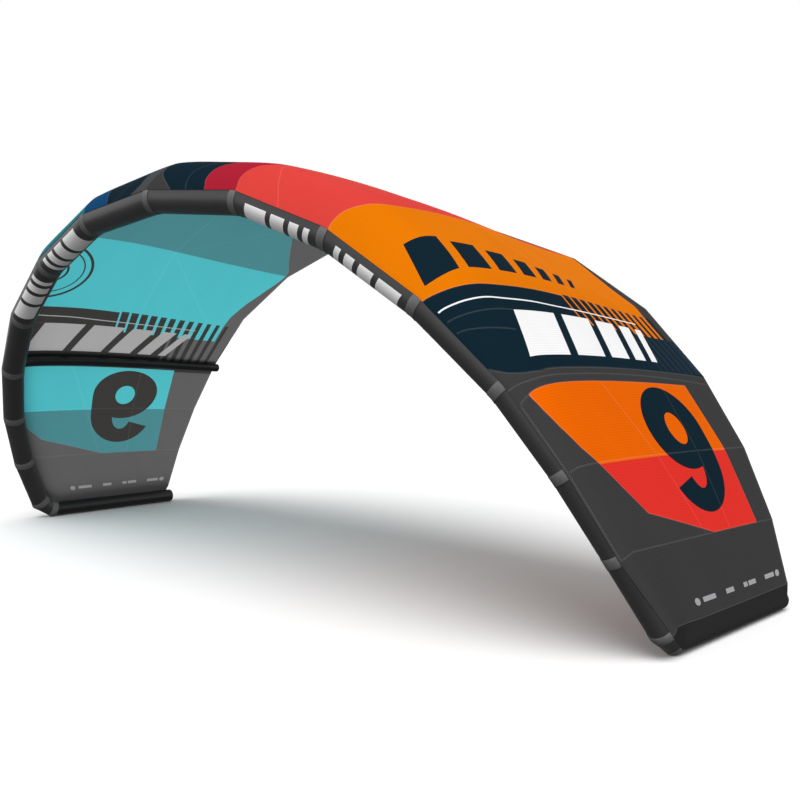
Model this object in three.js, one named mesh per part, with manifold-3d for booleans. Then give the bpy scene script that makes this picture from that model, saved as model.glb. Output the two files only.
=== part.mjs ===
// A three-strut inflatable kite for kitesurfing, nine square metres laid flat, standing on its two tips.
// Units are millimetres. X runs out along the span, Y runs back from the leading edge and Z is up.
// The wing is laid out around the middle of its leading edge, and at the end it is stood on the origin.
import * as THREE from 'three';
import { mergeVertices } from 'three/addons/utils/BufferGeometryUtils.js';
import Module from 'manifold-3d';

const wasm = await Module();
wasm.setup();

// Thicknesses and clearances
const CLOTH = 3; // canopy sheet
const WALL = 2; // sleeve cloth of the inflated tubes
const TAPE = 1.5; // woven tape over the joints of the leading edge
const GAP = 0.3; // between pieces that lie on each other
const SEAM = 0.2; // half the gap between pieces sewn side by side
const EASE = 1.1; // room between the cloth and the tubes it is wrapped on
const TAPE_GAP = 0.5; // room between the tape and the tube
const TAPE_HALF_WIDTH = 20;
const TAPE_SHORT = 4; // degrees between the tape's end and the canopy's seam

// Facets around a tube; the tip tubes lie on the middle of one of them
const SIDES = 20;
const FACET = 360 / SIDES;
const FLAT = Math.cos(THREE.MathUtils.degToRad(FACET / 2));

// The joints of the leading edge, from the middle of the kite to the tip. The tube's centre is at out, back
// and down, and radius is the tube's. The trailing edge behind it is at tailOut, tailBack and tailDown.
// The cloth is sewn to the tube at seam degrees above straight ahead and leaves it at wrap degrees. It is
// crown high at the share crownAt of the chord, and tailSlope is its fall at the trailing edge.
const joints = [
  { out: 0, back: 0, down: 0, radius: 63, tailOut: 0, tailBack: 1548, tailDown: 30,
    wrap: 40, crown: 171, crownAt: 0.09, tailSlope: -0.1 },
  { out: 559, back: 21, down: 53, radius: 63, tailOut: 561, tailBack: 1544, tailDown: 94,
    wrap: 35, crown: 157, crownAt: 0.09, tailSlope: -0.12 },
  { out: 1033, back: 54, down: 223, radius: 62, tailOut: 1016, tailBack: 1528, tailDown: 246,
    wrap: 35, crown: 173, crownAt: 0.09, tailSlope: -0.08 },
  { out: 1430, back: 101, down: 472, radius: 60, tailOut: 1408, tailBack: 1502, tailDown: 483,
    wrap: 46, crown: 148, crownAt: 0.1, tailSlope: -0.1 },
  { out: 1720, back: 178, down: 751, radius: 57.5, tailOut: 1691, tailBack: 1486, tailDown: 763,
    wrap: 60, crown: 101, crownAt: 0.1, tailSlope: -0.12 },
  { out: 1902, back: 263, down: 1024, radius: 55, tailOut: 1886, tailBack: 1462, tailDown: 1040,
    wrap: 75, crown: 62, crownAt: 0.12, tailSlope: -0.1 },
  { out: 2023, back: 373, down: 1294, radius: 52, tailOut: 2022, tailBack: 1430, tailDown: 1307,
    wrap: 90, crown: 42, crownAt: 0.15, tailSlope: -0.07 },
  { out: 2105, back: 507, down: 1549, radius: 48.5, tailOut: 2104, tailBack: 1397, tailDown: 1545,
    wrap: 105, crown: 16, crownAt: 0.18, tailSlope: -0.03 },
];
const SEAM_ANGLE = 30;
const WRAP_STEPS = 4;
const RISE_STEPS = 3;
const TAIL_STEPS = 8;
const BLEND_SHARE = 0.25; // share of the chord in which a rib swings from the tube's joint to straight back
const TIP_EASE = 0.8; // more room between the last panel and the elbow

// The tip tube runs back from the elbow. Its underside is flat, raised by the tape at the front.
const elbow = { out: 2099, down: 1602, back: 581, radius: 40 };
const underside = -elbow.down - elbow.radius * FLAT;
const TAPE_PROUD = TAPE_GAP + TAPE * FLAT;
const tipRings = [
  { back: elbow.back, out: elbow.out, radius: elbow.radius, bottom: underside },
  { back: 665, out: 2097, radius: elbow.radius, bottom: underside },
  { back: 1240, out: 2081, radius: 38, bottom: underside - TAPE_PROUD },
  { back: 1383, out: 2077, radius: 38, bottom: underside - TAPE_PROUD },
];
const TIP_ROUNDING = 12; // the rounded rim of a tube's closed end
const TIP_CLOTH_END = 1372; // where the canopy's corner stops on the tip tube
const TIP_SEAM = 57; // around the tip tube, below its outer side
const TIP_WRAP = 101;

const strutSizes = { frontRadius: 29, rearRadius: 24, past: 22 };
const STRUT_SIDES = 16;
const STRUT_BEND = 1.4; // how quickly the strut's rise from the leading edge levels off
const STRUT_ROOT = 15; // height of the strut's front end above the leading edge's centre
const STRUT_EASE = 0.3; // more room between the strut and the cloth

// Small helpers

const vec = (x, y, z) => new THREE.Vector3(x, y, z);
const lerp = (a, b, s) => a.clone().lerp(b, s);
const mix = THREE.MathUtils.lerp;
const sum = (a, b) => a.clone().add(b);
const difference = (a, b) => a.clone().sub(b);
const scaled = (v, s) => v.clone().multiplyScalar(s);
const range = (n) => Array.from({ length: n }, (_, i) => i);
const degrees = THREE.MathUtils.degToRad;
const middleOf = (points) => scaled(points.reduce((total, p) => sum(total, p)), 1 / points.length);
const BACK = vec(0, 1, 0);

function material(color, roughness) {
  return new THREE.MeshStandardMaterial({ color, roughness, metalness: 0 });
}

function geometryFrom(points, triangles) {
  const geometry = new THREE.BufferGeometry();
  geometry.setAttribute('position', new THREE.Float32BufferAttribute(points.flatMap((p) => p.toArray()), 3));
  geometry.setIndex(triangles.flat());
  return geometry;
}

// A closed solid between two grids of points of the same size, outer and inner.
function slab(outer, inner) {
  const rows = outer.length;
  const columns = outer[0].length;
  const points = [...outer.flat(), ...inner.flat()];
  const at = (r, c, side) => side * rows * columns + r * columns + c;
  const triangles = [];
  const quad = (a, b, c, d) => triangles.push([a, b, c], [a, c, d]);
  for (const r of range(rows - 1)) {
    for (const c of range(columns - 1)) {
      quad(at(r, c, 0), at(r, c + 1, 0), at(r + 1, c + 1, 0), at(r + 1, c, 0));
      quad(at(r, c, 1), at(r + 1, c, 1), at(r + 1, c + 1, 1), at(r, c + 1, 1));
    }
  }
  for (const r of range(rows - 1)) {
    quad(at(r, 0, 0), at(r + 1, 0, 0), at(r + 1, 0, 1), at(r, 0, 1));
    quad(at(r, columns - 1, 0), at(r, columns - 1, 1), at(r + 1, columns - 1, 1), at(r + 1, columns - 1, 0));
  }
  for (const c of range(columns - 1)) {
    quad(at(0, c, 0), at(0, c, 1), at(0, c + 1, 1), at(0, c + 1, 0));
    quad(at(rows - 1, c, 0), at(rows - 1, c + 1, 0), at(rows - 1, c + 1, 1), at(rows - 1, c, 1));
  }
  return outward(geometryFrom(points, triangles));
}

// A closed solid through a list of rings. The rings form a loop, or each end of the list closes on a pole.
function loft(rings, poles) {
  const sides = rings[0].length;
  const points = rings.flat();
  const triangles = [];
  const at = (ring, side) => (ring % rings.length) * sides + (side % sides);
  for (const ring of range(poles ? rings.length - 1 : rings.length)) {
    for (const side of range(sides)) {
      triangles.push([at(ring, side), at(ring, side + 1), at(ring + 1, side + 1)]);
      triangles.push([at(ring, side), at(ring + 1, side + 1), at(ring + 1, side)]);
    }
  }
  if (poles) {
    const first = points.push(poles[0]) - 1;
    const last = points.push(poles[1]) - 1;
    for (const side of range(sides)) {
      triangles.push([first, at(0, side + 1), at(0, side)]);
      triangles.push([last, at(rings.length - 1, side), at(rings.length - 1, side + 1)]);
    }
  }
  return outward(geometryFrom(points, triangles));
}

function signedVolume(geometry) {
  const place = geometry.getAttribute('position');
  const index = geometry.getIndex();
  const corner = (i) => vec().fromBufferAttribute(place, index.getX(i));
  return range(index.count / 3).reduce(
    (total, i) => total + corner(3 * i).dot(corner(3 * i + 1).cross(corner(3 * i + 2))) / 6, 0);
}

function flipped(geometry) {
  const index = geometry.getIndex().array;
  for (let i = 0; i < index.length; i += 3) [index[i], index[i + 1]] = [index[i + 1], index[i]];
  return geometry;
}

// Turns the faces of a closed solid to point out.
function outward(geometry) {
  return signedVolume(geometry) < 0 ? flipped(geometry) : geometry;
}

function mirrored(geometry) {
  return flipped(geometry.clone().scale(-1, 1, 1));
}

function solidOf(geometry) {
  const bare = geometry.clone();
  for (const name of Object.keys(bare.attributes)) if (name !== 'position') bare.deleteAttribute(name);
  const merged = mergeVertices(bare, 1e-3);
  const vertProperties = new Float32Array(merged.getAttribute('position').array);
  const triVerts = new Uint32Array(merged.getIndex().array);
  return new wasm.Manifold(new wasm.Mesh({ numProp: 3, vertProperties, triVerts }));
}

function geometryOf(solid) {
  const mesh = solid.getMesh();
  const geometry = new THREE.BufferGeometry();
  geometry.setAttribute('position', new THREE.Float32BufferAttribute(mesh.vertProperties, mesh.numProp));
  geometry.setIndex([...mesh.triVerts]);
  return geometry;
}

// The tube's centre line: the joints, the elbow and the end of the tip tube

const centres = joints.map((j) => vec(j.out, j.back, -j.down));
const tails = joints.map((j) => vec(j.tailOut, j.tailBack, -j.tailDown));
const LAST = joints.length - 1;
const ELBOW = joints.length;
const tipCentre = (ring) => vec(ring.out, ring.back, ring.bottom + ring.radius * FLAT);
centres.push(tipCentre(tipRings[0]), tipCentre(tipRings[1]));
const radii = [...joints.map((j) => j.radius), elbow.radius];

// Directions of the straight lengths; length k runs from joint k - 1 to joint k
const directions = centres.map((c, k) => (k ? difference(c, centres[k - 1]).normalize() : null));
directions[0] = directions[1].clone().multiply(vec(-1, 1, -1)).setX(directions[1].x);

const mitres = range(ELBOW + 1).map((k) => sum(directions[k], directions[k + 1]).normalize());
mitres[0] = vec(1, 0, 0);

// Two axes across a length of tube: ahead, where the angle is 0, and out of the arch, where it is 90 degrees
function tubeAxes(k) {
  const along = k === ELBOW ? directions[ELBOW + 1] : directions[Math.max(k, 1)];
  const lowest = -90 + FACET / 2;
  const under = vec(Math.cos(degrees(lowest)), 0, Math.sin(degrees(lowest)));
  const guide = k === ELBOW ? under : scaled(BACK, -1);
  const ahead = guide.addScaledVector(along, -guide.dot(along)).normalize();
  return { along, ahead, aside: ahead.clone().cross(along).normalize() };
}
const axes = range(ELBOW + 1).map(tubeAxes);

// A point around joint k, on the plane that halves the bend there; shift moves it along the tube.
function ringPoint(k, angle, radius, shift = 0) {
  const { along, ahead, aside } = axes[k];
  const arm = scaled(ahead, Math.cos(degrees(angle)) * radius);
  arm.addScaledVector(aside, Math.sin(degrees(angle)) * radius);
  arm.addScaledVector(along, (shift - arm.dot(mitres[k])) / along.dot(mitres[k]));
  return arm.add(centres[k]);
}

// A point on the faceted tube between two of its corners
function facetPoint(k, angle, radius, shift = 0) {
  const corner = Math.floor(angle / FACET + 1e-6) * FACET;
  const share = (angle - corner) / FACET;
  return lerp(ringPoint(k, corner, radius, shift), ringPoint(k, corner + FACET, radius, shift), share);
}

const ring = (k, radius, shift) => range(SIDES).map((i) => ringPoint(k, i * FACET, radius, shift));

// Sleeves of the leading edge

function sleeve(k) {
  const front = (inset) => ring(k - 1, radii[k - 1] - inset, SEAM);
  const rear = (inset) => ring(k, radii[k] - inset, -SEAM);
  return loft([front(0), rear(0), rear(WALL), front(WALL)]);
}

// The tip tube is closed with a rounded rim at its rear end

function tipRing(row, radius, back) {
  const centre = tipCentre(row).setY(back ?? row.back);
  const { ahead, aside } = axes[ELBOW];
  return range(SIDES).map((i) => {
    const turn = degrees(i * FACET);
    const arm = scaled(ahead, Math.cos(turn) * radius).addScaledVector(aside, Math.sin(turn) * radius);
    return sum(centre, arm);
  });
}

function tipTube() {
  const end = tipRings[tipRings.length - 1];
  const rings = [ring(ELBOW, elbow.radius, SEAM)];
  for (const row of tipRings.slice(1)) rings.push(tipRing(row, row.radius));
  for (const turn of [30, 60, 90].map(degrees)) {
    const radius = end.radius - TIP_ROUNDING * (1 - Math.cos(turn));
    rings.push(tipRing(end, radius, end.back + TIP_ROUNDING * Math.sin(turn)));
  }
  return loft(rings, [centres[ELBOW], tipCentre(end).setY(end.back + TIP_ROUNDING)]);
}

// Tape over a joint, from the canopy's seam round the front and the underside to where the cloth has lifted

function tape(k) {
  const wrap = k === ELBOW ? TIP_WRAP : joints[k].wrap;
  const seam = k === ELBOW ? TIP_SEAM : SEAM_ANGLE;
  const first = seam - TAPE_SHORT;
  const last = Math.ceil((wrap + FACET) / FACET) * FACET - 360;
  const angles = [first];
  for (let a = Math.floor((first - 1) / FACET) * FACET; a >= last; a -= FACET) angles.push(a);
  const grid = (inset) => [-1, 0, 1].map((side) => angles.map((a) => {
    const middle = facetPoint(k, a, radii[k] + inset);
    if (side === 0) return middle;
    const way = difference(neighbourPoint(k + side, a, inset), middle);
    return sum(middle, way.setLength(TAPE_HALF_WIDTH));
  }));
  return slab(grid(TAPE_GAP / FLAT + TAPE), grid(TAPE_GAP / FLAT));
}

// The point at the same angle on another joint, on the far half of the kite before the first one
function neighbourPoint(other, angle, inset) {
  if (other < 0) return facetPoint(1, angle, radii[1] + inset).multiply(vec(-1, 1, 1));
  if (other > ELBOW) {
    const straight = difference(centres[ELBOW + 1], centres[ELBOW]);
    return sum(facetPoint(ELBOW, angle, radii[ELBOW] + inset), straight);
  }
  return facetPoint(other, angle, radii[other] + inset);
}

// The canopy's ribs. A rib is the line straight back from a joint to the trailing edge.

function spanDirection(k) {
  const flat = (v) => v.clone().setY(0).normalize();
  const inner = k === 0 ? flat(directions[1]).multiply(vec(1, 1, -1)) : flat(directions[k]);
  return sum(inner, flat(directions[k + 1])).normalize();
}
const spans = range(LAST + 1).map(spanDirection);
const outs = spans.map((s) => BACK.clone().cross(s).multiplyScalar(-1).normalize());
const stretches = spans.map((s, k) => 1 / s.dot(directions[k + 1].clone().setY(0).normalize()));

// A cubic from one height and slope to another over a length
function ease(s, length, h0, m0, h1, m1) {
  const a = 2 * s ** 3 - 3 * s ** 2 + 1;
  const b = s ** 3 - 2 * s ** 2 + s;
  const c = s ** 3 - s ** 2;
  return a * h0 + b * length * m0 + (1 - a) * h1 + c * length * m1;
}

const wrapStep = (k) => (joints[k].wrap - SEAM_ANGLE) / WRAP_STEPS;
const clothInside = (k) => (joints[k].radius + GAP + EASE) / Math.cos(degrees(wrapStep(k) / 2));
const clothRadius = (k) => clothInside(k) + CLOTH / 2;

// The middle of the cloth along rib k, as back and up from the tube's centre, at share s from the tube to
// the crown and then, from 1 to 2, on to the trailing edge
function ribHeight(k, s) {
  const { wrap, crown, crownAt, tailSlope } = joints[k];
  const chord = tails[k].distanceTo(centres[k]);
  const leave = degrees(wrap);
  const start = { back: -clothRadius(k) * Math.cos(leave), up: clothRadius(k) * Math.sin(leave) };
  const top = crownAt * chord;
  if (s <= 1) {
    const length = top - start.back;
    return { back: start.back + s * length, up: ease(s, length, start.up, 1 / Math.tan(leave), crown, 0) };
  }
  const length = chord - top;
  return { back: top + (s - 1) * length, up: ease(s - 1, length, crown, 0, 0, tailSlope) };
}

// The same place with the direction square to the cloth
function ribFrame(k, s) {
  const step = 1e-3;
  const here = ribHeight(k, s);
  const before = ribHeight(k, Math.max(s - step, 0));
  const after = ribHeight(k, Math.min(s + step, 2));
  const run = after.back - before.back;
  const rise = after.up - before.up;
  const length = Math.hypot(run, rise);
  return { ...here, normalBack: -rise / length, normalUp: run / length };
}

function ribPlace(k, back, up) {
  const chord = difference(tails[k], centres[k]).normalize();
  return sum(centres[k], scaled(chord, back)).addScaledVector(outs[k], up * stretches[k]);
}

// A point of the cloth on rib k, offset square to it. Near the tube the rib swings to the tube's own joint.
function ribPoint(k, s, offset) {
  const frame = ribFrame(k, s);
  const start = ribFrame(k, 0);
  const point = ribPlace(k, frame.back + frame.normalBack * offset, frame.up + frame.normalUp * offset);
  const swing = difference(ringPoint(k, joints[k].wrap, clothRadius(k)), ribPlace(k, start.back, start.up));
  const reach = BLEND_SHARE * tails[k].distanceTo(centres[k]);
  const left = Math.max(1 - (frame.back - start.back) / reach, 0);
  return point.addScaledVector(swing, left ** 2);
}

const riseShares = range(RISE_STEPS).map((i) => (i + 1) / RISE_STEPS);
const tailShares = range(TAIL_STEPS).map((i) => 1 + ((i + 1) / TAIL_STEPS) ** 1.2);
const ribShares = [...riseShares, ...tailShares];

// One side of a panel: round the tube from the seam, then back along the rib
function ribLine(k, offset, side) {
  const nudge = SEAM * side;
  const wrapped = range(WRAP_STEPS + 1).map((i) =>
    ringPoint(k, SEAM_ANGLE + i * wrapStep(k), clothRadius(k) + offset, nudge));
  const rib = ribShares.map((s) => ribPoint(k, s, offset).addScaledVector(spans[k], nudge));
  return [...wrapped, ...rib];
}

function panel(k) {
  const grid = (offset) => {
    const inner = ribLine(k - 1, offset, 1);
    const outer = ribLine(k, offset, -1);
    return inner.map((p, i) => [p, lerp(p, outer[i], 0.5), outer[i]]);
  };
  return slab(grid(CLOTH / 2), grid(-CLOTH / 2));
}

// The last panel fills the corner between the outermost rib, the elbow and the tip tube

function tipPoint(back, angle, radius) {
  const last = tipRings.findIndex((row) => row.back >= back);
  const [a, b] = [tipRings[Math.max(last - 1, 0)], tipRings[Math.max(last, 1)]];
  const share = (back - a.back) / (b.back - a.back);
  const row = Object.fromEntries(Object.keys(a).map((key) => [key, mix(a[key], b[key], share)]));
  const { ahead, aside } = axes[ELBOW];
  const arm = scaled(ahead, Math.cos(degrees(angle))).addScaledVector(aside, Math.sin(degrees(angle)));
  return sum(tipCentre(row), scaled(arm, row.radius + radius));
}

function tipPanel() {
  const columns = [0, 1 / 3, 2 / 3, 1];
  const jointAngles = columns.map((c) => mix(joints[LAST].wrap, SEAM_ANGLE, c));
  const [, firstColumn, ...otherColumns] = columns;
  const around = (c) => mix(TIP_WRAP, TIP_SEAM, (c - firstColumn) / (1 - firstColumn));
  const tubeAngles = [firstColumn, ...otherColumns].map(around);
  const lift = clothRadius(LAST) - joints[LAST].radius + TIP_EASE;
  const rearRows = ribShares.length - 2;
  const grid = (offset) => {
    const rows = [jointAngles.map((a) => ringPoint(LAST, a, clothRadius(LAST) + offset, SEAM))];
    ribShares.forEach((share, i) => {
      const rib = ribPoint(LAST, share, offset).addScaledVector(spans[LAST], SEAM);
      const onTube = tubeAngles.map((angle, c) => {
        if (i === 0) {
          const middle = (jointAngles[c + 1] + angle) / 2;
          const above = ringPoint(LAST, middle, radii[LAST] + lift + offset);
          return lerp(above, ringPoint(ELBOW, middle, radii[ELBOW] + lift + offset), 0.5);
        }
        if (i === 1) return ringPoint(ELBOW, angle, radii[ELBOW] + lift + offset);
        return tipPoint(mix(elbow.back, TIP_CLOTH_END, (i - 1) / rearRows), angle, lift + offset);
      });
      rows.push([rib, ...onTube]);
    });
    return rows;
  };
  return slab(grid(CLOTH / 2), grid(-CLOTH / 2));
}

// Struts lie under a rib, close to the cloth from its crown to the tail, and end against the leading edge

// A ring around the strut, centred at back and up from the leading edge's centre, square to its slope
function strutRing(k, place, radius) {
  const centre = ribPlace(k, place.back, place.up / stretches[k]);
  const chord = difference(tails[k], centres[k]).normalize();
  const normal = scaled(outs[k], place.run).addScaledVector(chord, -place.rise).normalize();
  return range(STRUT_SIDES).map((i) => {
    const turn = degrees((i * 360) / STRUT_SIDES);
    const arm = scaled(normal, Math.cos(turn) * radius);
    return sum(centre, arm).addScaledVector(spans[k], Math.sin(turn) * radius);
  });
}

// The strut's centre line under rib k, with its radius
function strutLine(k) {
  const { frontRadius, rearRadius } = strutSizes;
  const under = [1, ...tailShares].map((s) => {
    const radius = mix(frontRadius, rearRadius, s / 2);
    const drop = (radius + CLOTH / 2 + GAP) * stretches[k] + STRUT_EASE;
    const frame = ribFrame(k, s);
    return {
      back: frame.back - frame.normalBack * drop,
      up: frame.up * stretches[k] - frame.normalUp * drop,
      run: frame.normalUp, rise: -frame.normalBack, radius,
    };
  });
  const crown = under[0];
  const rising = [0, 0.35, 0.7].map((share) => ({
    back: crown.back * share,
    up: mix(STRUT_ROOT, crown.up, 1 - (1 - share) ** STRUT_BEND),
    run: crown.back, rise: STRUT_BEND * (crown.up - STRUT_ROOT) * (1 - share) ** (STRUT_BEND - 1),
    radius: frontRadius,
  }));
  return [...rising, ...under];
}

function strutSkin(k) {
  const line = strutLine(k);
  const rear = line[line.length - 1];
  const rings = line.map((place) => strutRing(k, place, place.radius));
  const end = strutSizes.past - TIP_ROUNDING;
  for (const turn of [0, 30, 60, 90].map(degrees)) {
    const beyond = end + TIP_ROUNDING * Math.sin(turn);
    const place = { ...rear, back: rear.back + rear.run * beyond, up: rear.up + rear.rise * beyond };
    rings.push(strutRing(k, place, rear.radius - TIP_ROUNDING * (1 - Math.cos(turn))));
  }
  return loft(rings, [middleOf(rings[0]), middleOf(rings[rings.length - 1])]);
}

function leadingEdgeCutter(k) {
  const around = radii[k] + TAPE_GAP / FLAT + TAPE + GAP;
  const fromRing = (other) => range(SIDES).map((i) => {
    const middle = ringPoint(k, i * FACET, around);
    const target = neighbourPoint(other, i * FACET, around - radii[k]);
    return lerp(middle, target, 0.5);
  });
  const middle = range(SIDES).map((i) => ringPoint(k, i * FACET, around));
  const rings = [fromRing(k - 1), middle, fromRing(k + 1)];
  return loft(rings, [middleOf(rings[0]), middleOf(rings[2])]);
}

function strut(k) {
  return geometryOf(solidOf(strutSkin(k)).subtract(solidOf(leadingEdgeCutter(k))));
}

// Assembly

const looks = {
  tube: () => material(0x404040, 0.75),
  tape: () => material(0x5a5a5a, 0.8),
  black: () => material(0x1a1a1a, 0.7),
};
const rightColors = [0x102837, 0xe8423e, 0xf08200, 0x102837, 0xff6900, 0xe8423e, 0x383838, 0x383838];
const leftColors = [0x102837, 0x498089, 0x4bb9c8, 0x383838, 0x4bb9c8, 0x498089, 0x5c5c5c, 0x5c5c5c];

const group = new THREE.Group();

function add(name, geometry, look) {
  const mesh = new THREE.Mesh(geometry, look);
  mesh.name = name;
  group.add(mesh);
}

function addPair(name, geometry, rightLook, leftLook) {
  const [stem, number] = name;
  add(`${stem}_r${number}`, geometry, rightLook);
  add(`${stem}_l${number}`, mirrored(geometry), leftLook);
}

for (const k of range(LAST).map((i) => i + 1)) {
  addPair(['sleeve', k], sleeve(k), looks.tube(), looks.tube());
  addPair(['canopy', k], panel(k), material(rightColors[k - 1], 0.6), material(leftColors[k - 1], 0.6));
}
addPair(['elbow', ''], sleeve(ELBOW), looks.tube(), looks.tube());
addPair(['canopy', ELBOW], tipPanel(), material(rightColors[LAST], 0.6), material(leftColors[LAST], 0.6));
addPair(['tip_tube', ''], tipTube(), looks.black(), looks.black());
add('tape_center', tape(0), looks.tape());
for (const k of range(ELBOW).map((i) => i + 1)) addPair(['tape', k], tape(k), looks.tape(), looks.tape());
add('strut_center', strut(0), looks.black());
addPair(['strut', ''], strut(4), looks.black(), looks.black());

// Stand the kite on the origin, in the middle of its own outline
const box = new THREE.Box3().setFromObject(group);
group.position.set(0, -(box.min.y + box.max.y) / 2, -box.min.z);

export default group;
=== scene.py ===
# Dresses a three-strut inflatable kite: cloth sewn from coloured panels, woven tubes, tapes and struts.
# Kite sizes are in millimetres from the middle of the leading edge: out along the span, back, and up.
from math import cos, pi, radians, sin, tan

import bmesh
import bpy
import numpy as np
from mathutils import Matrix, Vector
from mathutils.geometry import delaunay_2d_cdt


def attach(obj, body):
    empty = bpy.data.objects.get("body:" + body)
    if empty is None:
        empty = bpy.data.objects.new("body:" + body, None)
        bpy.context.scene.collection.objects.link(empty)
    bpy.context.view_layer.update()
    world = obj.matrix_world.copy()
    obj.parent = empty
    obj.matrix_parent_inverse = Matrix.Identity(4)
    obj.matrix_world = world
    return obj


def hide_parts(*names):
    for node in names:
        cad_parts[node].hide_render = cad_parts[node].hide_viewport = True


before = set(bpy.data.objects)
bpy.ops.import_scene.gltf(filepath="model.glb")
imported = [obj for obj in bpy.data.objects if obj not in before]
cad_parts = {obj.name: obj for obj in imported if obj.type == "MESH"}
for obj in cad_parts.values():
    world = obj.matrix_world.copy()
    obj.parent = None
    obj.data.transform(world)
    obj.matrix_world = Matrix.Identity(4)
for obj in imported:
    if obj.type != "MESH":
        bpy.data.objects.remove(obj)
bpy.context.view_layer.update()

# One millimetre in metres
MM = 0.001

# Where the middle of the leading edge lies in the frame, in millimetres
LEADING_EDGE = np.array([0.0, -751.71, 1643.49])

# The joints of the leading edge, from the middle of the kite to the tip, as in the solids
JOINT_COLUMNS = "out back down radius tail_out tail_back tail_down wrap crown crown_at tail_slope".split()
JOINT_ROWS = [
    (0, 0, 0, 63, 0, 1548, 30, 40, 171, 0.09, -0.10),
    (559, 21, 53, 63, 561, 1544, 94, 35, 157, 0.09, -0.12),
    (1033, 54, 223, 62, 1016, 1528, 246, 35, 173, 0.09, -0.08),
    (1430, 101, 472, 60, 1408, 1502, 483, 46, 148, 0.10, -0.10),
    (1720, 178, 751, 57.5, 1691, 1486, 763, 60, 101, 0.10, -0.12),
    (1902, 263, 1024, 55, 1886, 1462, 1040, 75, 62, 0.12, -0.10),
    (2023, 373, 1294, 52, 2022, 1430, 1307, 90, 42, 0.15, -0.07),
    (2105, 507, 1549, 48.5, 2104, 1397, 1545, 105, 16, 0.18, -0.03),
]
JOINTS = [dict(zip(JOINT_COLUMNS, row)) for row in JOINT_ROWS]
LAST = len(JOINTS) - 1
ELBOW = len(JOINTS)
ELBOW_PLACE = np.array([2099.0, 581.0, -1602.0])
ELBOW_RADIUS = 40
PAST_ELBOW = np.array([2097.0, 665.0, -1602.0])

# How far round the tube from its front the cloth is sewn on at each joint, in degrees
SEAM_ANGLES = [30] * LAST + [62]
CLOTH_HALF = 1.3
CLOTH_ROOM = 0.3
BLEND_SHARE = 0.25
CAD_FACET = 18

# Rings of the tip tube: how far back and out its centre is, its radius and how high its underside is
UNDERSIDE = -1641.51
TAPE_PROUD = 1.98
TIP_RINGS = [
    (581, 2099, 40, UNDERSIDE),
    (665, 2097, 40, UNDERSIDE),
    (1240, 2081, 38, UNDERSIDE - TAPE_PROUD),
    (1383, 2077, 38, UNDERSIDE - TAPE_PROUD),
]
TIP_ROUNDING = 12
TIP_CLOTH_END = 1372
TIP_SEAM = 57
TIP_WRAP = 101
TIP_FLAT = cos(radians(CAD_FACET / 2))

STRUT_FRONT_RADIUS = 29
STRUT_REAR_RADIUS = 24
STRUT_PAST = 14

# Colours as red, green and blue from 0 to 255, as they show in daylight
OUTSIDE = {
    # The second colour is the charcoal of the last panel darkened with painted shade, where the cloth turns
    # down over the tip tube
    "charcoal": (54, 54, 55), "tip_painted_shade": (38, 38, 39), "grey": (65, 66, 68), "navy": (13, 32, 42),
    "steel": (28, 42, 54), "crimson": (154, 28, 46), "coral": (197, 60, 54), "deep_coral": (206, 46, 38),
    "orange": (205, 108, 2), "deep_orange": (213, 91, 2), "blue": (11, 62, 101), "dark_teal": (30, 112, 126),
    "teal": (24, 150, 172), "white": (222, 222, 223), "pale": (150, 150, 152), "black": (26, 26, 27),
}
# Colours of the cloth seen from inside: the outside colours muted through the cloth, and lighter with
# painted daylight shining through it
INSIDE = {
    "charcoal": (104, 104, 104), "tip_painted_shade": (102, 102, 102), "grey": (102, 102, 102), "navy": (52, 56, 62),
    "steel": (92, 96, 102), "crimson": (150, 74, 82), "coral": (212, 106, 96), "deep_coral": (212, 100, 90),
    "orange": (226, 156, 70), "deep_orange": (226, 136, 62), "blue": (70, 108, 148),
    "dark_teal": (82, 148, 155), "teal": (86, 202, 211), "white": (178, 178, 178), "pale": (165, 165, 165),
    "black": (64, 63, 62),
}

# The two wings, and the letters that name their pieces
SIDES = ((1, "r"), (-1, "l"))


def unit(v):
    return v / np.linalg.norm(v)


def mix(a, b, share):
    return a + (b - a) * share


# The leading edge and the ribs, worked out as in the solids

BACK = np.array([0.0, 1.0, 0.0])
centres = [np.array([j["out"], j["back"], -j["down"]], float) for j in JOINTS]
tails = [np.array([j["tail_out"], j["tail_back"], -j["tail_down"]], float) for j in JOINTS]
centres += [ELBOW_PLACE, PAST_ELBOW]
radii = [j["radius"] for j in JOINTS] + [ELBOW_RADIUS]
directions = [None] + [unit(b - a) for a, b in zip(centres, centres[1:])]
directions[0] = directions[1] * (1, -1, -1)
mitres = [unit(directions[k] + directions[k + 1]) for k in range(ELBOW + 1)]
mitres[0] = np.array([1.0, 0.0, 0.0])


def tube_axes(k):
    along = directions[ELBOW + 1] if k == ELBOW else directions[max(k, 1)]
    lowest = radians(CAD_FACET / 2 - 90)
    guide = np.array([cos(lowest), 0.0, sin(lowest)]) if k == ELBOW else -BACK
    ahead = unit(guide - along * guide.dot(along))
    return along, ahead, np.cross(ahead, along)


axes = [tube_axes(k) for k in range(ELBOW + 1)]


def ring_point(k, angle, radius):
    along, ahead, aside = axes[k]
    arm = (ahead * cos(radians(angle)) + aside * sin(radians(angle))) * radius
    return centres[k] + arm - along * (arm.dot(mitres[k]) / along.dot(mitres[k]))


def flat_direction(v):
    return unit(v * (1, 0, 1))


def span_direction(k):
    inner = flat_direction(directions[1]) * (1, 1, -1) if k == 0 else flat_direction(directions[k])
    return unit(inner + flat_direction(directions[k + 1]))


spans = [span_direction(k) for k in range(LAST + 1)]
outs = [unit(-np.cross(BACK, s)) for s in spans]
stretches = [1 / s.dot(flat_direction(directions[k + 1])) for k, s in enumerate(spans)]
chords = [unit(tails[k] - centres[k]) for k in range(LAST + 1)]
chord_lengths = [float(np.linalg.norm(tails[k] - centres[k])) for k in range(LAST + 1)]


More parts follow.
